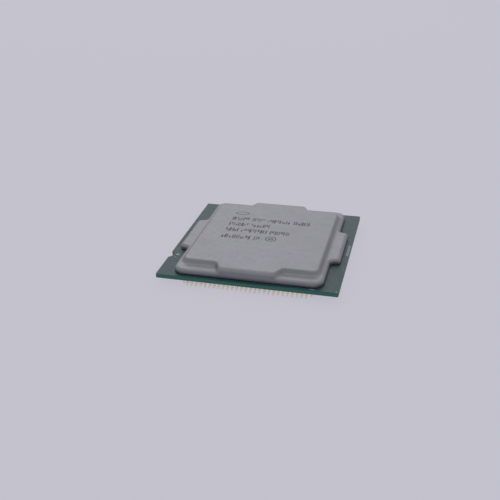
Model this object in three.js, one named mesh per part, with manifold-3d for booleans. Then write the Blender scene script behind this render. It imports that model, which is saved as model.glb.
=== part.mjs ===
// A desktop processor package: a keyed organic substrate with a grid of gold pins below it, a silicon die
// with its bumps, underfill and thermal paste on top, and a nickel-plated copper lid glued over the die.
// Millimetres, +Z up. The origin is the centre of the pin tips' plane, which the package stands on.
import * as THREE from "three";
import { mergeVertices } from "three/addons/utils/BufferGeometryUtils.js";
import Module from "manifold-3d";

const wasm = await Module();
wasm.setup();

// Driving dimensions.
const PACKAGE_SIDE = 37.5;
const PIN_LENGTH = 1.5;
const MASK_THICKNESS = 0.05;
const BUILD_UP_THICKNESS = 0.15;
const CORE_THICKNESS = 0.45;
const CORNER_CHAMFER = 0.15;
const CURVE_STEPS = 6;

// The key in the substrate's left edge: a shallow round notch.
const NOTCH = { y: -9.6, halfWidth: 1.3, depth: 0.75 };

// The lid: a flange with a wing on each side, and a raised plateau with a tab at the front and back.
const LID = {
  flangeHalfX: 15.5,
  flangeHalfY: 17.8,
  wingHalfX: 17.45,
  wingHalfY: 6.7,
  wingFlare: 0.4,
  wingRootRadius: 0.9,
  wingCornerRadius: 0.5,
  plateauHalfX: 14.25,
  plateauHalfY: 14.95,
  tabRootHalfX: 7.0,
  tabEndHalfX: 5.6,
  tabRootRadius: 0.5,
  flangeTop: 1.17,
  plateauTop: 2.17,
  cornerRadius: 2.2,
  plateauRadius: 1.8,
  edgeBevel: 0.35,
  cavityHalfX: 12.6,
  cavityHalfY: 14.4,
  cavityRadius: 0.8,
};
const SEAL = {
  thickness: 0.12,
  inset: 0.6,
  width: 1.7,
  radius: 1.8,
  innerRadius: 0.6,
  ventX: 9,
  ventWidth: 2,
};
const DIE = { x: 13.7, y: 9.2, thickness: 0.42 };
const BUMPS = { height: 0.07, film: 0.02, filmInset: 0.1, side: 0.35, pitch: 1.5, columns: 9, rows: 6 };
const UNDERFILL = { foot: 0.7, lip: 0.07, height: 0.3 };
const PASTE = { thickness: 0.08, inset: 0.2 };

// The pin grid: a square array without its middle and its corners. Each bank's pins share a land film.
const PIN = { pitch: 0.95, side: 0.36, film: 0.05, last: 19, diagonal: 32, openX: 11, openY: 7 };
const PIN_ROWS_HERE = 2; // rows of pins, counted from the outside, that stand on the land films

// Capacitors: a row on each side of the die under the lid, and three rows in the middle of the pin grid.
const LID_CAPACITOR = { x: 1.0, y: 0.5, z: 0.45, count: 4, pitch: 3.6, rowY: 8.4 };
const LAND_CAPACITOR = { x: 0.8, y: 1.6, z: 0.8, columns: 8, pitch: 2.5, rowPitch: 3.9 };

// Marks: gold pads on the upper mask, and the pin-one triangle on the lower.
const PAD_THICKNESS = 0.03;
const ROUND_PADS = [
  { name: "notch_test_pad", x: -17.1, y: -9.45, radius: 0.34 },
  { name: "notch_small_pad", x: -17.15, y: -10.75, radius: 0.18 },
  { name: "corner_fiducial", x: 18.3, y: -18.3, radius: 0.16 },
];
const FRONT_PAD = { x: 13.5, y: -18.35, length: 1.0, width: 0.3 };
const TRIANGLE = { leg: 1.4, fromEdge: 0.6 };

// Heights of the stack, from the pin tips up.
const lowerMaskZ = PIN_LENGTH;
const lowerBuildUpZ = lowerMaskZ + MASK_THICKNESS;
const coreZ = lowerBuildUpZ + BUILD_UP_THICKNESS;
const upperBuildUpZ = coreZ + CORE_THICKNESS;
const upperMaskZ = upperBuildUpZ + BUILD_UP_THICKNESS;
const topZ = upperMaskZ + MASK_THICKNESS;
const dieZ = topZ + BUMPS.height;
const pasteZ = dieZ + DIE.thickness;
const cavityCeilingZ = pasteZ + PASTE.thickness;
const lidZ = topZ + SEAL.thickness;

const half = PACKAGE_SIDE / 2;

const finish = {
  mask: new THREE.MeshStandardMaterial({ color: 0x3d655c, roughness: 0.42, metalness: 0 }),
  laminate: new THREE.MeshStandardMaterial({ color: 0x4a5a44, roughness: 0.7, metalness: 0 }),
  nickel: new THREE.MeshStandardMaterial({ color: 0x97979c, roughness: 0.45, metalness: 1 }),
  gold: new THREE.MeshStandardMaterial({ color: 0xd8b878, roughness: 0.35, metalness: 1 }),
  solder: new THREE.MeshStandardMaterial({ color: 0xb8babd, roughness: 0.4, metalness: 1 }),
  silicon: new THREE.MeshStandardMaterial({ color: 0x3b3f4a, roughness: 0.15, metalness: 0.3 }),
  underfill: new THREE.MeshStandardMaterial({ color: 0x15191c, roughness: 0.5, metalness: 0 }),
  paste: new THREE.MeshStandardMaterial({ color: 0x9a9a98, roughness: 0.8, metalness: 0 }),
  seal: new THREE.MeshStandardMaterial({ color: 0x161618, roughness: 0.75, metalness: 0 }),
  ceramic: new THREE.MeshStandardMaterial({ color: 0x8a6f55, roughness: 0.6, metalness: 0 }),
};

const processor = new THREE.Group();

function addMesh(name, geometry, material, position = [0, 0, 0]) {
  const mesh = new THREE.Mesh(geometry, material);
  mesh.name = name;
  mesh.position.set(...position);
  processor.add(mesh);
}

// Solids for joining and cutting, and back again.
function toSolid(geometry) {
  const bare = geometry.clone();
  bare.deleteAttribute("normal");
  bare.deleteAttribute("uv");
  const merged = mergeVertices(bare, 1e-4);
  return new wasm.Manifold(
    new wasm.Mesh({
      numProp: 3,
      vertProperties: merged.attributes.position.array,
      triVerts: new Uint32Array(merged.index.array),
    }),
  );
}

function toGeometry(solid) {
  const mesh = solid.getMesh();
  const geometry = new THREE.BufferGeometry();
  geometry.setAttribute("position", new THREE.BufferAttribute(mesh.vertProperties, 3));
  geometry.setIndex(new THREE.BufferAttribute(mesh.triVerts, 1));
  return geometry;
}

function box(x, y, z, centre) {
  return new THREE.BoxGeometry(x, y, z).translate(...centre);
}

// A closed outline through corners [x, y, radius]; a corner with a radius is rounded by an arc.
function filletedShape(corners) {
  const shape = new THREE.Shape();
  corners.forEach(([x, y, radius], i) => {
    const corner = new THREE.Vector2(x, y);
    const before = new THREE.Vector2(...corners.at(i - 1)).sub(corner).normalize();
    const after = new THREE.Vector2(...corners[(i + 1) % corners.length]).sub(corner).normalize();
    const halfAngle = Math.acos(before.dot(after)) / 2;
    const start = before.clone().multiplyScalar(radius / Math.tan(halfAngle)).add(corner);
    if (i === 0) shape.moveTo(start.x, start.y);
    else shape.lineTo(start.x, start.y);
    if (!radius) return;
    const end = after.clone().multiplyScalar(radius / Math.tan(halfAngle)).add(corner);
    const toCentre = before.clone().add(after).normalize();
    const centre = toCentre.multiplyScalar(radius / Math.sin(halfAngle)).add(corner);
    const clockwise = before.cross(after) > 0;
    shape.absarc(centre.x, centre.y, radius, start.sub(centre).angle(), end.sub(centre).angle(), clockwise);
  });
  shape.closePath();
  return shape;
}

// The same outline on both sides of the Y axis: the right half's corners from front to back.
function mirroredCorners(rightHalf) {
  return [...rightHalf, ...rightHalf.map(([x, y, radius]) => [-x, y, radius]).reverse()];
}

// An outline raised to a solid. A bevel rounds both of its edges.
function prism(shape, thickness, z, bevel = 0) {
  const geometry = new THREE.ExtrudeGeometry(shape, {
    depth: thickness - 2 * bevel,
    bevelEnabled: bevel > 0,
    bevelThickness: bevel,
    bevelSize: bevel,
    bevelOffset: -bevel,
    bevelSegments: 2,
    curveSegments: CURVE_STEPS,
  });
  return geometry.translate(0, 0, z + bevel);
}

// The substrate: a laminate core, build-up layers and solder masks, all cut to one keyed outline.
function substrateShape() {
  const c = CORNER_CHAMFER;
  const notchRadius = (NOTCH.halfWidth ** 2 + NOTCH.depth ** 2) / (2 * NOTCH.depth);
  const notchX = -half + NOTCH.depth - notchRadius;
  const sweep = Math.asin(NOTCH.halfWidth / notchRadius);
  const shape = new THREE.Shape();
  shape.moveTo(-half + c, -half);
  shape.lineTo(half - c, -half);
  shape.lineTo(half, -half + c);
  shape.lineTo(half, half - c);
  shape.lineTo(half - c, half);
  shape.lineTo(-half + c, half);
  shape.lineTo(-half, half - c);
  shape.absarc(notchX, NOTCH.y, notchRadius, sweep, -sweep, true);
  shape.lineTo(-half, -half + c);
  shape.closePath();
  return shape;
}

function addSubstrate() {
  const outline = substrateShape();
  const layers = [
    ["lower_solder_mask", lowerMaskZ, MASK_THICKNESS, finish.mask],
    ["lower_build_up", lowerBuildUpZ, BUILD_UP_THICKNESS, finish.laminate],
    ["substrate_core", coreZ, CORE_THICKNESS, finish.laminate],
    ["upper_build_up", upperBuildUpZ, BUILD_UP_THICKNESS, finish.laminate],
    ["upper_solder_mask", upperMaskZ, MASK_THICKNESS, finish.mask],
  ];
  for (const [name, z, thickness, material] of layers) addMesh(name, prism(outline, thickness, z), material);
}

// The lid, stamped in one piece: flange and wings, plateau and tabs, and the recess that clears the die.
function flangeCorners() {
  const { flangeHalfX: x, flangeHalfY: y, wingHalfX, wingHalfY, wingRootRadius, wingCornerRadius } = LID;
  const rootY = wingHalfY + LID.wingFlare;
  return mirroredCorners([
    [x, -y, LID.cornerRadius],
    [x, -rootY, wingRootRadius],
    [wingHalfX, -wingHalfY, wingCornerRadius],
    [wingHalfX, wingHalfY, wingCornerRadius],
    [x, rootY, wingRootRadius],
    [x, y, LID.cornerRadius],
  ]);
}

function plateauCorners() {
  const { plateauHalfX: x, plateauHalfY: y, tabRootHalfX, tabEndHalfX, plateauRadius, flangeHalfY } = LID;
  return mirroredCorners([
    [tabEndHalfX, -flangeHalfY, 0],
    [tabRootHalfX, -y, LID.tabRootRadius],
    [x, -y, plateauRadius],
    [x, y, plateauRadius],
    [tabRootHalfX, y, LID.tabRootRadius],
    [tabEndHalfX, flangeHalfY, 0],
  ]);
}

function addLid() {
  // The blanks start lower than the lid, so that cutting them off at its underside leaves that edge square.
  const spare = 2 * LID.edgeBevel;
  const blankZ = lidZ - spare;
  const flangeShape = filletedShape(flangeCorners());
  const flange = toSolid(prism(flangeShape, topZ + LID.flangeTop - blankZ, blankZ, LID.edgeBevel));
  const plateauHeight = topZ + LID.plateauTop - blankZ;
  const plateauShape = filletedShape(plateauCorners());
  const plateau = toSolid(prism(plateauShape, plateauHeight, blankZ, LID.edgeBevel));
  const envelope = toSolid(prism(flangeShape, plateauHeight, blankZ, LID.edgeBevel));
  const { cavityHalfX, cavityHalfY, cavityRadius } = LID;
  const cavityCorners = mirroredCorners([
    [cavityHalfX, -cavityHalfY, cavityRadius],
    [cavityHalfX, cavityHalfY, cavityRadius],
  ]);
  const belowLid = 1;
  const cavityDepth = cavityCeilingZ - lidZ + belowLid;
  const cavity = toSolid(prism(filletedShape(cavityCorners), cavityDepth, lidZ - belowLid));
  const stamped = flange.add(plateau.intersect(envelope)).trimByPlane([0, 0, 1], lidZ);
  addMesh("heat_spreader", toGeometry(stamped.subtract(cavity)), finish.nickel);
}

// The bead of adhesive under the flange, with a vent left open at the back.
function addSeal() {
  const x = LID.flangeHalfX - SEAL.inset;
  const y = LID.flangeHalfY - SEAL.inset;
  const { radius, innerRadius } = SEAL;
  const ring = filletedShape(mirroredCorners([[x, -y, radius], [x, y, radius]]));
  const innerX = x - SEAL.width;
  const innerY = y - SEAL.width;
  const innerCorners = [[innerX, -innerY, innerRadius], [innerX, innerY, innerRadius]];
  ring.holes.push(filletedShape(mirroredCorners(innerCorners)));
  const vent = box(SEAL.ventWidth, 4 * SEAL.width, 1, [SEAL.ventX, y, topZ]);
  const bead = toSolid(prism(ring, SEAL.thickness, topZ)).subtract(toSolid(vent));
  addMesh("lid_seal", toGeometry(bead), finish.seal);
}

// The die with the solder bumps that join it to the substrate, and the paste that joins it to the lid.
function addDie() {
  addMesh("silicon_die", box(DIE.x, DIE.y, DIE.thickness, [0, 0, dieZ + DIE.thickness / 2]), finish.silicon);
  const { inset, thickness } = PASTE;
  const paste = box(DIE.x - 2 * inset, DIE.y - 2 * inset, thickness, [0, 0, pasteZ + thickness / 2]);
  addMesh("thermal_paste", paste, finish.paste);
  const { film, filmInset } = BUMPS;
  const filmCentre = [0, 0, dieZ - film / 2];
  let bumps = toSolid(box(DIE.x - 2 * filmInset, DIE.y - 2 * filmInset, film, filmCentre));
  for (let column = 0; column < BUMPS.columns; column++)
    for (let row = 0; row < BUMPS.rows; row++) {
      const x = (column - (BUMPS.columns - 1) / 2) * BUMPS.pitch;
      const y = (row - (BUMPS.rows - 1) / 2) * BUMPS.pitch;
      bumps = bumps.add(toSolid(box(BUMPS.side, BUMPS.side, BUMPS.height, [x, y, topZ + BUMPS.height / 2])));
    }
  addMesh("die_bumps", toGeometry(bumps), finish.solder);
}

// The epoxy fillet that climbs the die's sides from the substrate.
function addUnderfill() {
  const footX = DIE.x / 2 + UNDERFILL.foot;
  const footY = DIE.y / 2 + UNDERFILL.foot;
  const lipShare = 1 - (UNDERFILL.foot - UNDERFILL.lip) / footX;
  const wedge = new THREE.CylinderGeometry(lipShare * Math.SQRT2, Math.SQRT2, UNDERFILL.height, 4);
  wedge.rotateY(Math.PI / 4).rotateX(Math.PI / 2).scale(footX, footY, 1);
  wedge.translate(0, 0, topZ + UNDERFILL.height / 2);
  const dieSpace = box(DIE.x, DIE.y, 2, [0, 0, topZ]);
  addMesh("die_underfill", toGeometry(toSolid(wedge).subtract(toSolid(dieSpace))), finish.underfill);
}

// Whether the grid has a pin at a column and a row, both counted from the centre.
function hasPin(column, row) {
  const i = Math.abs(column);
  const j = Math.abs(row);
  return i <= PIN.last && j <= PIN.last && i + j <= PIN.diagonal && (i > PIN.openX || j > PIN.openY);
}

function inOuterRows(column, row) {
  const depth = Math.min(PIN.last - Math.abs(column), PIN.last - Math.abs(row));
  return depth < PIN_ROWS_HERE || Math.abs(column) + Math.abs(row) > PIN.diagonal - PIN_ROWS_HERE;
}

// One bank of pins: a thin land film over the bank's columns and rows, and the pins that stand from it.
function addPinBank(name, columns, rows) {
  const margin = PIN.pitch / 2;
  const [x0, x1] = columns.map((column) => column * PIN.pitch);
  const [y0, y1] = rows.map((row) => row * PIN.pitch);
  const filmZ = PIN_LENGTH - PIN.film;
  const filmCentre = [(x0 + x1) / 2, (y0 + y1) / 2, filmZ + PIN.film / 2];
  const film = toSolid(box(x1 - x0 + PIN.side, y1 - y0 + PIN.side, PIN.film, filmCentre));
  const reach = (PIN.diagonal * PIN.pitch + margin) * Math.SQRT2;
  const corners = box(reach, reach, 4 * PIN_LENGTH, [0, 0, 0]).rotateZ(Math.PI / 4);
  const pins = [film.intersect(toSolid(corners))];
  for (let column = columns[0]; column <= columns[1]; column++)
    for (let row = rows[0]; row <= rows[1]; row++) {
      if (!hasPin(column, row) || !inOuterRows(column, row)) continue;
      const centre = [column * PIN.pitch, row * PIN.pitch, PIN_LENGTH / 2];
      pins.push(toSolid(box(PIN.side, PIN.side, PIN_LENGTH, centre)));
    }
  addMesh(name, toGeometry(wasm.Manifold.union(pins)), finish.gold);
}

function addPins() {
  const { last, openX, openY } = PIN;
  addPinBank("pins_front", [-last, last], [-last, -openY - 1]);
  addPinBank("pins_back", [-last, last], [openY + 1, last]);
  addPinBank("pins_left", [-last, -openX - 1], [-openY, openY]);
  addPinBank("pins_right", [openX + 1, last], [-openY, openY]);
}

// Small gold pads on the upper mask, and the triangle that marks pin one beside the pins below.
function addMarks() {
  const padZ = topZ + PAD_THICKNESS / 2;
  for (const { name, x, y, radius } of ROUND_PADS) {
    const disc = new THREE.CylinderGeometry(radius, radius, PAD_THICKNESS, 20).rotateX(Math.PI / 2);
    addMesh(name, disc, finish.gold, [x, y, padZ]);
  }
  const frontPad = new THREE.BoxGeometry(FRONT_PAD.length, FRONT_PAD.width, PAD_THICKNESS);
  addMesh("front_test_pad", frontPad, finish.gold, [FRONT_PAD.x, FRONT_PAD.y, padZ]);
  const triangle = new THREE.Shape();
  triangle.moveTo(0, 0);
  triangle.lineTo(TRIANGLE.leg, 0);
  triangle.lineTo(0, TRIANGLE.leg);
  triangle.closePath();
  const corner = -half + TRIANGLE.fromEdge;
  const markZ = lowerMaskZ - PAD_THICKNESS;
  addMesh("pin_one_mark", prism(triangle, PAD_THICKNESS, 0), finish.gold, [corner, corner, markZ]);
}

// Decoupling capacitors: beside the die under the lid, and in the middle of the pin grid below.
function addCapacitors() {
  const lid = LID_CAPACITOR;
  let number = 0;
  for (const side of [-1, 1])
    for (let i = 0; i < lid.count; i++) {
      const x = (i - (lid.count - 1) / 2) * lid.pitch;
      const block = box(lid.x, lid.y, lid.z, [x, side * lid.rowY, topZ + lid.z / 2]);
      number += 1;
      addMesh(`lid_capacitor_${number}`, block, finish.ceramic);
    }
  const land = LAND_CAPACITOR;
  number = 0;
  for (const row of [-1, 0, 1])
    for (let i = 0; i < land.columns; i++) {
      const x = (i - (land.columns - 1) / 2) * land.pitch;
      const block = box(land.x, land.y, land.z, [x, row * land.rowPitch, lowerMaskZ - land.z / 2]);
      number += 1;
      addMesh(`land_capacitor_${number}`, block, finish.ceramic);
    }
}

addSubstrate();
addPins();
addMarks();
addCapacitors();
addDie();
addUnderfill();
addSeal();
addLid();

export default processor;
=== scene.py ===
"""Looks for a desktop processor package: a nickel lid on a green keyed substrate with a grid of gold pins."""

import math
import random

import bmesh
import bpy
import numpy as np
from mathutils import Matrix, Vector
from mathutils.geometry import delaunay_2d_cdt


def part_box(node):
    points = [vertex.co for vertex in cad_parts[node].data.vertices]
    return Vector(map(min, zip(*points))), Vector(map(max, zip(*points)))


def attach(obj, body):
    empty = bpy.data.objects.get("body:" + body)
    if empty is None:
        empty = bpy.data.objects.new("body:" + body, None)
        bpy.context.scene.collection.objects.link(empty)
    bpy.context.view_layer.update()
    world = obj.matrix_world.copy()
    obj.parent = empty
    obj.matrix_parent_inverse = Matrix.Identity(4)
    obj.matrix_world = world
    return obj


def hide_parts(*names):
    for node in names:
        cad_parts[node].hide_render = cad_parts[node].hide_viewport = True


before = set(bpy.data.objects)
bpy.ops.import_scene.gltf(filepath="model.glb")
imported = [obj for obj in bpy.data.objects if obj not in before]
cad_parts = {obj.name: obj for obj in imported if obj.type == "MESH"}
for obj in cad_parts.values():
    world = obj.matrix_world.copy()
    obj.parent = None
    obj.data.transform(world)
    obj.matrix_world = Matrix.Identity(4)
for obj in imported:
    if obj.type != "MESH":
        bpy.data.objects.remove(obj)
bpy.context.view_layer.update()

MM = 0.001  # every size below is in millimetres until a mesh is made

# Heights read from the frame, in millimetres.
SUBSTRATE_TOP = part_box("upper_solder_mask")[1].z / MM
SUBSTRATE_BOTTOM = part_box("lower_solder_mask")[0].z / MM
LID_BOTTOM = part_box("heat_spreader")[0].z / MM
LID_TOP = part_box("heat_spreader")[1].z / MM
CAVITY_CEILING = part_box("thermal_paste")[1].z / MM

# The lid's outlines. Their lengths are those of the frame's lid, but its corners are rounded differently.
FLANGE_HALF_X = 15.5
FLANGE_HALF_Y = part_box("heat_spreader")[1].y / MM
FLANGE_RISE = 1.17
FLANGE_TOP = SUBSTRATE_TOP + FLANGE_RISE
WING_HALF_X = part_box("heat_spreader")[1].x / MM
WING_HALF_Y = 6.7
WING_FLARE = 0.4
PLATEAU_HALF_X = 14.25
PLATEAU_HALF_Y = 14.95
TAB_ROOT_HALF_X = 7.0
TAB_END_HALF_X = 5.6
CAVITY_HALF_X = 12.6
CAVITY_HALF_Y = 14.4
FLANGE_CORNER = 2.2
WING_ROOT_CORNER = 0.9
WING_CORNER = 0.8
PLATEAU_CORNER = 1.5
TAB_ROOT_CORNER = 0.8
TAB_END_CORNER = 0.1
CAVITY_CORNER = 0.8
TAB_OVERRUN = 3.0  # how far the tabs' outline runs on past the flange's edge
EDGE_RADIUS = 0.7  # the rounding of the flange's top edge
TAB_EDGE_RADIUS = 1.25  # the rounding where a tab meets that edge

# The plateau's wall in section: a fillet at its foot, a short straight slope and a rounded crown.
WALL_ANGLE = math.radians(58)
FOOT_RADIUS = 0.7
CROWN_RADIUS = 0.5

# The pin grid.
PIN_PITCH = 0.95
PIN_RADIUS = 0.19
PIN_LAST = 19
PIN_DIAGONAL = 32
PIN_OPEN_X = 11
PIN_OPEN_Y = 7
PIN_SIDES = 10

# The lid's mesh.
ARC_STEP = 9  # degrees
LONGEST_EDGE = 1.2
RING_MARGIN = 0.08
EDGE_STEPS = 9
WALL_STEPS = 6

# The marks: rows as (middle in y, right end), rings as (x, y, radii in x, radii in y).
SEED = 7
ROWS_LEFT = -9.2
ROWS = [(6.9, 8.9), (3.95, 0.3), (0.95, 5.1), (-2.5, -0.5)]
ROW_HEIGHT = 1.7
ETCH_DEPTH = 0.004
ETCH_PROUD = 0.006
RINGS = [
    (-7.6, 9.95, (1.4, 1.6), (0.7, 0.88)),
    (1.7, -2.2, (1.0, 1.2), (1.0, 1.2)),
    (1.7, -2.2, (0.3, 0.55), (0.3, 0.55)),
]
# Painted glints: two columns of pale dashes near the right edge stand in for streaks of reflected light.
GLINT_COLUMNS = (18.2, 18.48)
GLINT_FROM, GLINT_TO = -2.4, 2.2
GLINT_HALF_WIDTH = 0.06
GLINT_GAP = 0.16
GLINT_DEPTH = 0.01
GLINT_PROUD = 0.012


# ---------------------------------------------------------------- meshes

def new_object(name, vertices, faces, material, smooth_below=35.0):
    """An object from millimetre vertices, smooth except across edges sharper than smooth_below degrees."""
    mesh = bpy.data.meshes.new(name)
    mesh.from_pydata([tuple(c * MM for c in v) for v in vertices], [], faces)
    mesh.validate()
    shade(mesh, smooth_below)
    mesh.materials.append(material)
    made = bpy.data.objects.new(name, mesh)
    bpy.context.scene.collection.objects.link(made)
    return made


def shade(mesh, smooth_below):
    work = bmesh.new()
    work.from_mesh(mesh)
    bmesh.ops.recalc_face_normals(work, faces=work.faces)
    for face in work.faces:
        face.smooth = True
    limit = math.radians(smooth_below)
    for edge in work.edges:
        edge.smooth = len(edge.link_faces) == 2 and edge.calc_face_angle(0.0) < limit
    work.to_mesh(mesh)
    work.free()
    mesh.update()


def place(piece, slot, *replaced):
    """Rides the piece on the package and hides the CAD nodes it stands for."""
    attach(piece, "root")
    if replaced:
        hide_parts(*replaced)
    return piece


def rounded_outline(corners, step):
    """A closed counter-clockwise outline of corners (x, y, radius): points and their outward normals."""
    points, normals = [], []
    count = len(corners)
    for i, (x, y, radius) in enumerate(corners):
        here = Vector((x, y))
        before = (Vector(corners[i - 1][:2]) - here).normalized()
        after = (Vector(corners[(i + 1) % count][:2]) - here).normalized()
        turn = math.copysign(1.0, before.cross(after))  # -1 at a convex corner
        half_angle = before.angle(after) / 2
        centre = here + (before + after).normalized() * radius / math.sin(half_angle)
        start = math.atan2(*reversed(outward(-before)))
        sweep = (math.pi - 2 * half_angle) * -turn
        arcs = max(2, int(abs(sweep) / math.radians(step)))
        for k in range(arcs + 1):
            angle = start + sweep * k / arcs
            normal = Vector((math.cos(angle), math.sin(angle)))
            points.append(centre + normal * radius * -turn)
            normals.append(normal)
    return np.array(points), np.array(normals)


def outward(direction):
    """The outward normal of a counter-clockwise outline that runs along direction."""
    return Vector((direction.y, -direction.x))


def both_sides(right_half):
    """The right half's corners, from front to back, then the left half's mirrored back to front."""
    return [*right_half, *[(-x, y, radius) for x, y, radius in reversed(right_half)]]


def subdivided(points, normals, longest):
    """The outline with extra points along its straight stretches."""
    out_points, out_normals = [], []
    for i in range(len(points)):
        j = (i + 1) % len(points)
        length = np.linalg.norm(points[j] - points[i])
        parts = max(1, int(math.ceil(length / longest)))
        for k in range(parts):
            out_points.append(points[i] + (points[j] - points[i]) * k / parts)
            blend = normals[i] + (normals[j] - normals[i]) * k / parts
            out_normals.append(blend / np.linalg.norm(blend))
    return np.array(out_points), np.array(out_normals)


def inside_distance(points, outline):
    """Distance from each point to the outline, positive inside it."""
    a = outline
    b = np.roll(outline, -1, axis=0)
    ab = b - a
    best = np.full(len(points), np.inf)
    inside = np.zeros(len(points), bool)
    for start, end, along in zip(a, b, ab):
        to_point = points - start
        share = np.clip(to_point @ along / max(along @ along, 1e-12), 0, 1)
        gap = np.hypot(*(to_point - share[:, None] * along).T)
        best = np.minimum(best, gap)
        crosses = (start[1] > points[:, 1]) != (end[1] > points[:, 1])
        if start[1] != end[1]:
            at_x = start[0] + (points[:, 1] - start[1]) / (end[1] - start[1]) * along[0]
            inside ^= crosses & (points[:, 0] < at_x)
    return np.where(inside, best, -best)


# ---------------------------------------------------------------- materials

def shader(name):
    material = bpy.data.materials.new(name)
    material.use_nodes = True
    tree = material.node_tree
    return material, tree, tree.nodes["Principled BSDF"]


def object_space(tree, stretch=(1, 1, 1)):
    coordinates = tree.nodes.new("ShaderNodeTexCoord")
    mapping = tree.nodes.new("ShaderNodeMapping")
    mapping.inputs["Scale"].default_value = [s / MM for s in stretch]
    tree.links.new(coordinates.outputs["Object"], mapping.inputs["Vector"])
    return mapping.outputs["Vector"]


def noise(tree, vector, scale, detail=3.0, roughness=0.55):
    """Noise whose scale is in cells per millimetre."""
    node = tree.nodes.new("ShaderNodeTexNoise")
    node.inputs["Scale"].default_value = scale
    node.inputs["Detail"].default_value = detail
    node.inputs["Roughness"].default_value = roughness
    tree.links.new(vector, node.inputs["Vector"])
    return node.outputs["Fac"]


def ramp(tree, factor, stops):
    node = tree.nodes.new("ShaderNodeValToRGB")
    node.color_ramp.elements[0].position = stops[0][0]
    node.color_ramp.elements[0].color = (*stops[0][1], 1)
    node.color_ramp.elements[1].position = stops[-1][0]
    node.color_ramp.elements[1].color = (*stops[-1][1], 1)
    for position, colour in stops[1:-1]:
        element = node.color_ramp.elements.new(position)
        element.color = (*colour, 1)
    tree.links.new(factor, node.inputs["Fac"])
    return node.outputs["Color"]


def span(tree, factor, low, high, from_low=0.3, from_high=0.7):
    node = tree.nodes.new("ShaderNodeMapRange")
    node.inputs["From Min"].default_value = from_low
    node.inputs["From Max"].default_value = from_high
    node.inputs["To Min"].default_value = low
    node.inputs["To Max"].default_value = high
    tree.links.new(factor, node.inputs["Value"])
    return node.outputs["Result"]


def bump(tree, height, depth, under=None):
    """A bump of the given depth in millimetres."""
    node = tree.nodes.new("ShaderNodeBump")
    node.inputs["Strength"].default_value = 1.0
    node.inputs["Distance"].default_value = depth * MM
    tree.links.new(height, node.inputs["Height"])
    if under is not None:
        tree.links.new(under, node.inputs["Normal"])
    return node.outputs["Normal"]


def shades(colour, spread):
    """A darker, the given and a lighter shade."""
    return [tuple(max(0.0, c * k) for c in colour) for k in (1 - spread, 1.0, 1 + spread)]


def finish(name, colour, roughness, metallic, spread, patch, grain, grain_depth, coat=0.0):
    """A plain finish with patches of shade, uneven gloss and a fine grain."""
    material, tree, principled = shader(name)
    vector = object_space(tree)
    dark, middle, light = shades(colour, spread)
    patches = noise(tree, vector, patch, 4.0)
    tree.links.new(
        ramp(tree, patches, [(0.3, dark), (0.5, middle), (0.72, light)]), principled.inputs["Base Color"]
    )
    gloss = noise(tree, vector, patch * 2.3, 3.0)
    tree.links.new(span(tree, gloss, roughness * 0.88, roughness * 1.12), principled.inputs["Roughness"])
    fine = noise(tree, vector, grain, 2.0)
    tree.links.new(bump(tree, fine, grain_depth), principled.inputs["Normal"])
    principled.inputs["Metallic"].default_value = metallic
    if coat:
        principled.inputs["Coat Weight"].default_value = coat
        principled.inputs["Coat Roughness"].default_value = 0.25
    return material


def nickel_finish():
    """Satin nickel plate: a fine blasted grain over a faint milled lay, with soft cloudy patches."""
    material, tree, principled = shader("satin_nickel")
    vector = object_space(tree)
    lay = object_space(tree, (1, 0.06, 1))
    dark, middle, light = shades((0.288, 0.287, 0.310), 0.045)
    clouds = noise(tree, vector, 0.22, 5.0, 0.6)
    tree.links.new(
        ramp(tree, clouds, [(0.28, dark), (0.5, middle), (0.75, light)]), principled.inputs["Base Color"]
    )
    gloss = noise(tree, vector, 0.9, 4.0)
    tree.links.new(span(tree, gloss, 0.44, 0.52), principled.inputs["Roughness"])
    milled = bump(tree, noise(tree, lay, 7.0, 3.0), 0.0012)
    grain = bump(tree, noise(tree, vector, 16.0, 2.0), 0.0018, milled)
    tree.links.new(grain, principled.inputs["Normal"])
    principled.inputs["Metallic"].default_value = 1.0
    return material


def mask_finish():
    """Green solder mask: faint regular lines, in relief and darker green, stand for the copper below."""
    material, tree, principled = shader("solder_mask")
    vector = object_space(tree)
    weave = noise(tree, vector, 1.4, 3.0)
    lines = tree.nodes.new("ShaderNodeTexBrick")
    lines.inputs["Scale"].default_value = 1.0
    lines.inputs["Brick Width"].default_value = 1.9
    lines.inputs["Row Height"].default_value = 0.22
    lines.inputs["Mortar Size"].default_value = 0.035
    lines.inputs["Mortar Smooth"].default_value = 0.6
    tree.links.new(vector, lines.inputs["Vector"])
    colour = tree.nodes.new("ShaderNodeMix")
    colour.data_type = "RGBA"
    colour.inputs["A"].default_value = (0.010, 0.054, 0.053, 1)
    colour.inputs["B"].default_value = (0.008, 0.044, 0.045, 1)
    tree.links.new(lines.outputs["Fac"], colour.inputs["Factor"])
    shade_mix = tree.nodes.new("ShaderNodeMix")
    shade_mix.data_type = "RGBA"
    shade_mix.blend_type = "MULTIPLY"
    shade_mix.inputs["Factor"].default_value = 1.0
    tree.links.new(colour.outputs["Result"], shade_mix.inputs["A"])
    tree.links.new(
        ramp(tree, weave, [(0.3, (0.86, 0.86, 0.86)), (0.7, (1, 1, 1))]), shade_mix.inputs["B"]
    )
    tree.links.new(shade_mix.outputs["Result"], principled.inputs["Base Color"])
    tree.links.new(span(tree, weave, 0.34, 0.46), principled.inputs["Roughness"])
    relief = bump(tree, lines.outputs["Fac"], 0.006)
    tree.links.new(bump(tree, noise(tree, vector, 14.0), 0.0015, relief), principled.inputs["Normal"])
    return material


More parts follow.
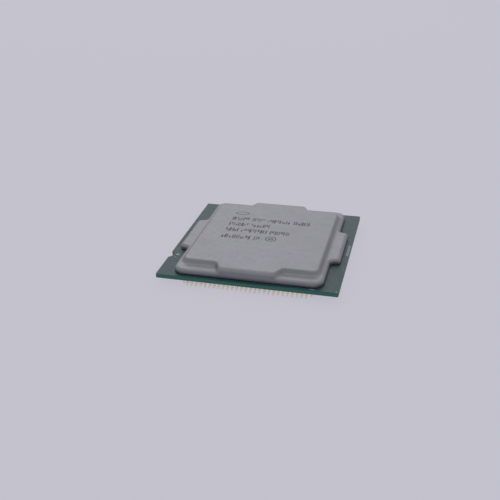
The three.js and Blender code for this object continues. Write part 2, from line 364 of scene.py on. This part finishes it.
def laminate_finish(name, colour):
    """The cut edge of resin and glass cloth: thin layers with short pale fibres."""
    material, tree, principled = shader(name)
    layers = object_space(tree, (0.5, 0.5, 9))
    fibres = noise(tree, layers, 1.6, 4.0, 0.65)
    dark, middle, light = shades(colour, 0.28)
    tree.links.new(
        ramp(tree, fibres, [(0.32, dark), (0.5, middle), (0.7, light)]), principled.inputs["Base Color"]
    )
    tree.links.new(span(tree, fibres, 0.5, 0.7), principled.inputs["Roughness"])
    tree.links.new(bump(tree, fibres, 0.01), principled.inputs["Normal"])
    return material


# finish(name, colour, roughness, metallic, spread of shade, patch scale, grain scale, grain depth)
MATERIALS = {
    "nickel": nickel_finish(),
    "solder_mask": mask_finish(),
    "build_up": laminate_finish("build_up_edge", (0.016, 0.125, 0.104)),
    "core": laminate_finish("core_edge", (0.022, 0.145, 0.116)),
    "gold": finish("gold_plate", (0.98, 0.91, 0.71), 0.42, 0.25, 0.05, 1.5, 12.0, 0.0015),
    "tin": finish("tinned_pad", (0.34, 0.37, 0.41), 0.5, 0.7, 0.08, 3.0, 12.0, 0.003),
    "solder": finish("solder", (0.60, 0.61, 0.62), 0.38, 1.0, 0.08, 2.0, 10.0, 0.004),
    "silicon": finish("silicon", (0.055, 0.060, 0.078), 0.12, 0.2, 0.05, 0.3, 5.0, 0.0004, coat=0.6),
    "underfill": finish("underfill", (0.012, 0.014, 0.017), 0.42, 0.0, 0.25, 1.2, 6.0, 0.01),
    "thermal_paste": finish("thermal_paste", (0.33, 0.33, 0.32), 0.75, 0.0, 0.10, 1.0, 7.0, 0.02),
    "seal": finish("seal", (0.014, 0.014, 0.016), 0.7, 0.0, 0.25, 0.8, 4.0, 0.02),
    "capacitor": finish("capacitor_ceramic", (0.24, 0.145, 0.085), 0.5, 0.0, 0.12, 2.0, 12.0, 0.003),
    "terminal": finish("capacitor_terminal", (0.62, 0.61, 0.59), 0.35, 1.0, 0.08, 3.0, 12.0, 0.004),
    "etch": finish("etched_nickel", (0.115, 0.115, 0.128), 0.62, 1.0, 0.10, 1.0, 14.0, 0.003),
    # painted highlight: the pale matt dashes that stand in for glints on the right margin
    "painted_glint": finish("painted_glint_pale", (0.62, 0.66, 0.64), 0.55, 0.0, 0.10, 2.0, 12.0, 0.002),
}


# ---------------------------------------------------------------- the lid

def flange_corners():
    return both_sides([
        (FLANGE_HALF_X, -FLANGE_HALF_Y, FLANGE_CORNER),
        (FLANGE_HALF_X, -WING_HALF_Y - WING_FLARE, WING_ROOT_CORNER),
        (WING_HALF_X, -WING_HALF_Y, WING_CORNER),
        (WING_HALF_X, WING_HALF_Y, WING_CORNER),
        (FLANGE_HALF_X, WING_HALF_Y + WING_FLARE, WING_ROOT_CORNER),
        (FLANGE_HALF_X, FLANGE_HALF_Y, FLANGE_CORNER),
    ])


def plateau_corners():
    """The plateau with its tabs, which run on past the flange's edge so that they meet it squarely."""
    slant = (TAB_ROOT_HALF_X - TAB_END_HALF_X) / (FLANGE_HALF_Y - PLATEAU_HALF_Y)
    end_x = TAB_END_HALF_X - slant * TAB_OVERRUN
    end_y = FLANGE_HALF_Y + TAB_OVERRUN
    return both_sides([
        (end_x, -end_y, TAB_END_CORNER),
        (TAB_ROOT_HALF_X, -PLATEAU_HALF_Y, TAB_ROOT_CORNER),
        (PLATEAU_HALF_X, -PLATEAU_HALF_Y, PLATEAU_CORNER),
        (PLATEAU_HALF_X, PLATEAU_HALF_Y, PLATEAU_CORNER),
        (TAB_ROOT_HALF_X, PLATEAU_HALF_Y, TAB_ROOT_CORNER),
        (end_x, end_y, TAB_END_CORNER),
    ])


def wall_profile(height):
    """The plateau wall in section: distances inside the outline, and heights above the flange."""
    steps = WALL_STEPS
    foot = [
        (
            FOOT_RADIUS * math.sin(WALL_ANGLE * k / steps),
            FOOT_RADIUS * (1 - math.cos(WALL_ANGLE * k / steps)),
        )
        for k in range(steps + 1)
    ]
    straight_rise = height - (FOOT_RADIUS + CROWN_RADIUS) * (1 - math.cos(WALL_ANGLE))
    straight_run = straight_rise / math.tan(WALL_ANGLE)
    crown_start = foot[-1][0] + straight_run
    crown_end = crown_start + CROWN_RADIUS * math.sin(WALL_ANGLE)
    crown = [
        (
            crown_end - CROWN_RADIUS * math.sin(WALL_ANGLE * (1 - k / steps)),
            height - CROWN_RADIUS * (1 - math.cos(WALL_ANGLE * (1 - k / steps))),
        )
        for k in range(steps + 1)
    ]
    profile = np.array(foot + crown)
    middle = (foot[-1][0] + crown_start) / 2
    profile[:, 0] -= middle
    return profile


def lid_height(points, flange, plateau, profile):
    """The lid's top surface over each point."""
    rise = np.interp(inside_distance(points, plateau), profile[:, 0], profile[:, 1])
    radius = EDGE_RADIUS + (TAB_EDGE_RADIUS - EDGE_RADIUS) * rise / profile[-1, 1]
    edge = np.clip(radius - inside_distance(points, flange), 0, radius)
    drop = radius - np.sqrt(np.maximum(radius ** 2 - edge ** 2, 0))
    return FLANGE_TOP + rise - drop


def lid_top_sheet():
    """The top surface as vertices and triangles: rings along both outlines, joined by triangles."""
    flange, flange_normals = subdivided(*rounded_outline(flange_corners(), ARC_STEP), LONGEST_EDGE)
    plateau, plateau_normals = subdivided(*rounded_outline(plateau_corners(), ARC_STEP), LONGEST_EDGE)
    profile = wall_profile(LID_TOP - FLANGE_TOP)
    edge_rings = [
        TAB_EDGE_RADIUS * (1 - math.cos(math.pi / 2 * k / EDGE_STEPS)) for k in range(EDGE_STEPS + 1)
    ]
    rings = [flange - flange_normals * d for d in [*edge_rings, TAB_EDGE_RADIUS + RING_MARGIN]]
    wall_rings = [profile[0, 0] - RING_MARGIN, *profile[:, 0], profile[-1, 0] + RING_MARGIN]
    rings += [plateau - plateau_normals * d for d in wall_rings]
    points, edges = [], []
    for ring in rings:
        first = len(points)
        points += [Vector(p) for p in ring]
        edges += [(first + k, first + (k + 1) % len(ring)) for k in range(len(ring))]
    vertices, _, faces, _, _, _ = delaunay_2d_cdt(points, edges, [], 0, 1e-5)
    flat = np.array([tuple(v) for v in vertices])
    centres = np.array([flat[list(face)].mean(0) for face in faces])
    inside = inside_distance(centres, flange) > -1e-4
    kept = [face for face, keep in zip(faces, inside) if keep]
    heights = lid_height(flat, flange, plateau, profile)
    return flat, heights, kept


def build_lid():
    flat, heights, faces = lid_top_sheet()
    work = bmesh.new()
    vertices = [work.verts.new((x, y, z)) for (x, y), z in zip(flat, heights)]
    for face in faces:
        work.faces.new([vertices[i] for i in face])
    bmesh.ops.delete(work, geom=[v for v in work.verts if not v.link_faces], context="VERTS")
    bmesh.ops.recalc_face_normals(work, faces=work.faces)
    rim = [e for e in work.edges if e.is_boundary]
    skirt = bmesh.ops.extrude_edge_only(work, edges=rim)["geom"]
    for vertex in (g for g in skirt if isinstance(g, bmesh.types.BMVert)):
        vertex.co.z = LID_BOTTOM
    bottom_rim = [e for e in work.edges if e.is_boundary]
    cavity = both_sides([
        (CAVITY_HALF_X, -CAVITY_HALF_Y, CAVITY_CORNER), (CAVITY_HALF_X, CAVITY_HALF_Y, CAVITY_CORNER),
    ])
    cavity_points, _ = rounded_outline(cavity, 15)
    lower = [work.verts.new((x, y, LID_BOTTOM)) for x, y in cavity_points]
    upper = [work.verts.new((x, y, CAVITY_CEILING)) for x, y in cavity_points]
    count = len(lower)
    mouth = [work.edges.new((lower[k], lower[(k + 1) % count])) for k in range(count)]
    bmesh.ops.triangle_fill(work, edges=bottom_rim + mouth, use_beauty=True)
    for k in range(count):
        work.faces.new((lower[k], lower[(k + 1) % count], upper[(k + 1) % count], upper[k]))
    work.faces.new(upper)
    bmesh.ops.recalc_face_normals(work, faces=work.faces)
    mesh = bpy.data.meshes.new("lid_shell")
    bmesh.ops.scale(work, vec=(MM, MM, MM), verts=work.verts)
    work.to_mesh(mesh)
    work.free()
    shade(mesh, 38)
    mesh.materials.append(MATERIALS["nickel"])
    lid = bpy.data.objects.new("lid_shell", mesh)
    bpy.context.scene.collection.objects.link(lid)
    return place(lid, "nickel", "heat_spreader")


# ---------------------------------------------------------------- marks

def bar(x0, x1, y0, y1, z0, z1, radius):
    """A thin plate with rounded corners: vertices and faces."""
    corners = [(x1, y0, radius), (x1, y1, radius), (x0, y1, radius), (x0, y0, radius)]
    points, _ = rounded_outline(corners, 30)
    count = len(points)
    vertices = [(x, y, z) for z in (z0, z1) for x, y in points]
    faces = [tuple(range(count, 2 * count)), tuple(reversed(range(count)))]
    faces += [(k, (k + 1) % count, count + (k + 1) % count, count + k) for k in range(count)]
    return vertices, faces


def ring(x, y, radii_x, radii_y, z0, z1, steps=40):
    """A thin oval ring between an inner and an outer radius: vertices and faces."""
    vertices, faces = [], []
    for k in range(steps):
        angle = 2 * math.pi * k / steps
        c, s = math.cos(angle), math.sin(angle)
        for radius_x, radius_y, z in (
            (radii_x[1], radii_y[1], z0), (radii_x[1], radii_y[1], z1),
            (radii_x[0], radii_y[0], z1), (radii_x[0], radii_y[0], z0),
        ):
            vertices.append((x + radius_x * c, y + radius_y * s, z))
        a, b = 4 * k, 4 * ((k + 1) % steps)
        faces += [(a + i, b + i, b + (i + 1) % 4, a + (i + 1) % 4) for i in range(4)]
    return vertices, faces


def joined(shapes):
    vertices, faces = [], []
    for shape_vertices, shape_faces in shapes:
        base = len(vertices)
        vertices += shape_vertices
        faces += [tuple(base + i for i in face) for face in shape_faces]
    return vertices, faces


def tick_words(chance, left, right, bottom, height, z0, z1):
    """A row of plain upright ticks in word-like groups, between left and right."""
    shapes = []
    x = left
    group = 0
    while x < right:
        if group == 0:
            group = chance.randint(6, 12)
            x += 0.55 if shapes else 0.0
        width = chance.choice((0.2, 0.28, 0.4))
        low = bottom + height * chance.choice((0.0, 0.0, 0.0, 0.0, 0.4))
        high = bottom + height * chance.choice((1.0, 1.0, 1.0, 0.6)) if low == bottom else bottom + height
        shapes.append(bar(x, min(x + width, right), low, high, z0, z1, 0.05))
        x += width + chance.choice((0.18, 0.24, 0.34))
        group -= 1
    return shapes


def build_etch_marks():
    """Four rows of plain ticks, an oval ring above them and two round rings after the last."""
    chance = random.Random(SEED)
    z0, z1 = LID_TOP - ETCH_DEPTH, LID_TOP + ETCH_PROUD
    shapes = []
    for y, right in ROWS:
        shapes += tick_words(chance, ROWS_LEFT, right, y - ROW_HEIGHT / 2, ROW_HEIGHT, z0, z1)
    for x, y, radii_x, radii_y in RINGS:
        shapes.append(ring(x, y, radii_x, radii_y, z0, z1))
    marks = new_object("lid_etch_marks", *joined(shapes), MATERIALS["etch"])
    return place(marks, "nickel")


def build_painted_glints():
    """Small pale dashes on the substrate's right margin: a painted highlight, two columns of them standing in
    for glints along that edge.
    """
    chance = random.Random(SEED + 1)
    z0, z1 = SUBSTRATE_TOP - GLINT_DEPTH, SUBSTRATE_TOP + GLINT_PROUD
    shapes = []
    for x in GLINT_COLUMNS:
        y = GLINT_FROM
        while y < GLINT_TO:
            length = chance.choice((0.22, 0.4, 0.62))
            shapes.append(bar(x - GLINT_HALF_WIDTH, x + GLINT_HALF_WIDTH, y, y + length, z0, z1, 0.03))
            y += length + GLINT_GAP
    marks = new_object("margin_painted_glints", *joined(shapes), MATERIALS["painted_glint"])
    return place(marks, "solder_mask")


# ---------------------------------------------------------------- pins

def has_pin(column, row):
    i, j = abs(column), abs(row)
    return max(i, j) <= PIN_LAST and i + j <= PIN_DIAGONAL and (i > PIN_OPEN_X or j > PIN_OPEN_Y)


def pin_profile():
    """A pin turned about its axis, from its tip up: (radius, height)."""
    top = SUBSTRATE_BOTTOM
    return [
        (PIN_RADIUS * 0.62, 0.0), (PIN_RADIUS * 0.92, 0.045), (PIN_RADIUS, 0.12),
        (PIN_RADIUS, top - 0.2), (PIN_RADIUS * 1.22, top - 0.12), (PIN_RADIUS * 1.6, top - 0.06),
        (PIN_RADIUS * 1.6, top),
    ]


def build_pin_bank(name, columns, rows):
    sides = PIN_SIDES
    profile = pin_profile()
    vertices, faces = [], []
    for column in range(columns[0], columns[1] + 1):
        for row in range(rows[0], rows[1] + 1):
            if not has_pin(column, row):
                continue
            base = len(vertices)
            for radius, z in profile:
                for k in range(sides):
                    angle = 2 * math.pi * (k + 0.5) / sides
                    x = column * PIN_PITCH + radius * math.cos(angle)
                    y = row * PIN_PITCH + radius * math.sin(angle)
                    vertices.append((x, y, z))
            for level in range(len(profile) - 1):
                low, high = base + level * sides, base + (level + 1) * sides
                for k in range(sides):
                    after = (k + 1) % sides
                    faces.append((low + k, low + after, high + after, high + k))
            faces.append(tuple(base + k for k in reversed(range(sides))))
            last = base + (len(profile) - 1) * sides
            faces.append(tuple(last + k for k in range(sides)))
    bank = new_object("gold_" + name, vertices, faces, MATERIALS["gold"], 50)
    return place(bank, "gold", name)


def build_pins():
    build_pin_bank("pins_front", (-PIN_LAST, PIN_LAST), (-PIN_LAST, -PIN_OPEN_Y - 1))
    build_pin_bank("pins_back", (-PIN_LAST, PIN_LAST), (PIN_OPEN_Y + 1, PIN_LAST))
    build_pin_bank("pins_left", (-PIN_LAST, -PIN_OPEN_X - 1), (-PIN_OPEN_Y, PIN_OPEN_Y))
    build_pin_bank("pins_right", (PIN_OPEN_X + 1, PIN_LAST), (-PIN_OPEN_Y, PIN_OPEN_Y))


# ---------------------------------------------------------------- capacitors

TERMINAL_SHARE = 0.24  # of the length
BODY_INSET = 0.02


def bevelled_box(work, low, high, width, material_index):
    made = bmesh.ops.create_cube(work, size=1.0)
    size = Vector(high) - Vector(low)
    centre = (Vector(high) + Vector(low)) / 2
    bmesh.ops.scale(work, vec=size, verts=made["verts"])
    bmesh.ops.translate(work, vec=centre, verts=made["verts"])
    edges = list({e for v in made["verts"] for e in v.link_edges})
    result = bmesh.ops.bevel(
        work, geom=edges, offset=width, offset_type="OFFSET", segments=2, profile=0.6, affect="EDGES"
    )
    faces = set(result["faces"]) | {f for v in result["verts"] for f in v.link_faces}
    for face in faces:
        face.material_index = material_index


def build_capacitor(node):
    """A chip capacitor in its CAD box: a ceramic body between two plated terminals."""
    low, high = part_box(node)
    size = high - low
    along = 0 if size.x > size.y else 1
    terminal = size[along] * TERMINAL_SHARE
    inset = BODY_INSET * MM
    work = bmesh.new()
    body_low, body_high = low.copy(), high.copy()
    for axis in range(3):
        body_low[axis] += inset if axis != along else terminal * 0.5
        body_high[axis] -= inset if axis != along else terminal * 0.5
    bevelled_box(work, body_low, body_high, 0.05 * MM, 0)
    for end in (0, 1):
        cap_low, cap_high = low.copy(), high.copy()
        if end:
            cap_low[along] = high[along] - terminal
        else:
            cap_high[along] = low[along] + terminal
        bevelled_box(work, cap_low, cap_high, 0.06 * MM, 1)
    mesh = bpy.data.meshes.new(node + "_chip")
    work.to_mesh(mesh)
    work.free()
    shade(mesh, 60)
    mesh.materials.append(MATERIALS["capacitor"])
    mesh.materials.append(MATERIALS["terminal"])
    chip = bpy.data.objects.new(node + "_chip", mesh)
    bpy.context.scene.collection.objects.link(chip)
    return place(chip, "capacitor", node)


# ---------------------------------------------------------------- CAD nodes that stay

NODE_MATERIALS = {
    "upper_solder_mask": "solder_mask",
    "lower_solder_mask": "solder_mask",
    "upper_build_up": "build_up",
    "lower_build_up": "build_up",
    "substrate_core": "core",
    "lid_seal": "seal",
    "silicon_die": "silicon",
    "die_bumps": "solder",
    "die_underfill": "underfill",
    "thermal_paste": "thermal_paste",
    "notch_test_pad": "tin",
    "notch_small_pad": "tin",
    # The corner fiducial's pale tin dot sits where a glint shows at that corner: a real pad shape, partly a
    # painted highlight.
    "corner_fiducial": "tin",
    "front_test_pad": "tin",
    "pin_one_mark": "gold",
}


def dress_cad_nodes():
    for node, material in NODE_MATERIALS.items():
        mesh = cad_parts[node].data
        mesh.materials.clear()
        mesh.materials.append(MATERIALS[material])


# ---------------------------------------------------------------- camera, floor and light

VIEW_AZIMUTH = math.radians(14.2)
VIEW_ELEVATION = math.radians(26.53)
VIEW_ROLL = math.radians(-0.8)
VIEW_DISTANCE = 165.93  # along the view, to the middle of the substrate's top
LENS = 54.15
AIM_RIGHT = 3.376  # how far right of the image's centre, and above it, that middle is
AIM_UP = 1.538


def add_camera():
    a, e, r = VIEW_AZIMUTH, VIEW_ELEVATION, VIEW_ROLL
    back = Vector((math.sin(a) * math.cos(e), -math.cos(a) * math.cos(e), math.sin(e)))
    level_right = Vector((math.cos(a), math.sin(a), 0))
    level_up = back.cross(level_right)
    right = level_right * math.cos(r) + level_up * math.sin(r)
    up = back.cross(right)
    target = Vector((0, 0, SUBSTRATE_TOP))
    place_at = (target + back * VIEW_DISTANCE - right * AIM_RIGHT - up * AIM_UP) * MM
    data = bpy.data.cameras.new("camera")
    data.lens = LENS
    data.sensor_width = 36
    data.clip_start = 0.001
    data.clip_end = 50
    camera = bpy.data.objects.new("camera", data)
    rotation = Matrix((right, up, back)).transposed()
    camera.matrix_world = Matrix.Translation(place_at) @ rotation.to_4x4()
    bpy.context.scene.collection.objects.link(camera)
    bpy.context.scene.camera = camera


FLOOR_REACH = 2.0  # metres
BACKDROP_HEIGHT = 0.9
BACKDROP_SIDES = 48
FLOOR_DROP = 0.00002  # below the pin tips
FLOOR_EMISSION = 0.91
BACKDROP_EMISSION = 1.0
BRIGHT_TOWARDS = (-0.15, 0.45, 0.88)  # the world is brightest this way
BACK_LIGHT_AT = (-125, 375, 305)
BACK_LIGHT_SIZE = 340
BACK_LIGHT_POWER = 0.24
PALE = (0.54, 0.53, 0.60, 1)


def glowing(name, base, strength):
    """A matt pale material lit mostly by its own emission, so that shadows on it stay faint."""
    material, _, principled = shader(name)
    principled.inputs["Base Color"].default_value = base
    principled.inputs["Roughness"].default_value = 0.9
    principled.inputs["Specular IOR Level"].default_value = 0.0
    principled.inputs["Emission Color"].default_value = PALE
    principled.inputs["Emission Strength"].default_value = strength
    return material


def stage(name, vertices, faces, material):
    mesh = bpy.data.meshes.new(name)
    mesh.from_pydata(vertices, [], faces)
    mesh.materials.append(material)
    piece = bpy.data.objects.new(name, mesh)
    bpy.context.scene.collection.objects.link(piece)
    return piece


def add_floor():
    """A wide pale floor, and a far backdrop of the same shade that only the camera sees."""
    far = FLOOR_REACH
    drop = -FLOOR_DROP
    corners = [(-far, -far, drop), (far, -far, drop), (far, far, drop), (-far, far, drop)]
    stage("floor", corners, [(0, 1, 2, 3)], glowing("floor", (0.08, 0.078, 0.088, 1), FLOOR_EMISSION))
    steps = BACKDROP_SIDES
    turns = [2 * math.pi * k / steps for k in range(steps)]
    rings = [(far * math.cos(t), far * math.sin(t), z) for z in (drop, BACKDROP_HEIGHT) for t in turns]
    walls = [(k, (k + 1) % steps, steps + (k + 1) % steps, steps + k) for k in range(steps)]
    backdrop = stage("backdrop", rings, walls, glowing("backdrop", (0, 0, 0, 1), BACKDROP_EMISSION))
    backdrop.visible_diffuse = False
    backdrop.visible_glossy = False
    backdrop.visible_shadow = False


def add_world():
    """Soft light from all round, bright behind the package and above it, dim low in front."""
    world = bpy.data.worlds.new("studio")
    bpy.context.scene.world = world
    world.use_nodes = True
    tree = world.node_tree
    background = tree.nodes["Background"]
    coordinates = tree.nodes.new("ShaderNodeTexCoord")
    facing = tree.nodes.new("ShaderNodeVectorMath")
    facing.operation = "DOT_PRODUCT"
    facing.inputs[1].default_value = Vector(BRIGHT_TOWARDS).normalized()
    tree.links.new(coordinates.outputs["Generated"], facing.inputs[0])
    height = span(tree, facing.outputs["Value"], 0.0, 1.0, -1.0, 1.0)
    sky = ramp(tree, height, [
        (0.0, (0.18, 0.18, 0.195)),
        (0.3, (0.22, 0.22, 0.235)),
        (0.55, (0.52, 0.515, 0.545)),
        (0.75, (0.68, 0.675, 0.71)),
        (1.0, (0.74, 0.73, 0.77)),
    ])
    tree.links.new(sky, background.inputs["Color"])
    background.inputs["Strength"].default_value = 1.0


def add_soft_light(name, position, size, power):
    """A square softbox, in millimetres, that faces the package."""
    data = bpy.data.lights.new(name, "AREA")
    data.shape = "SQUARE"
    data.size = size * MM
    data.energy = power
    light = bpy.data.objects.new(name, data)
    where = Vector(position) * MM
    light.location = where
    light.rotation_euler = (-where).to_track_quat("-Z", "Y").to_euler()
    bpy.context.scene.collection.objects.link(light)


def main():
    bpy.context.scene.view_settings.view_transform = "Standard"
    add_camera()
    dress_cad_nodes()
    build_lid()
    build_etch_marks()
    build_painted_glints()
    build_pins()
    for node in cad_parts:
        if "capacitor" in node:
            build_capacitor(node)
    add_floor()
    add_world()
    add_soft_light("back_light", BACK_LIGHT_AT, BACK_LIGHT_SIZE, BACK_LIGHT_POWER)


main()
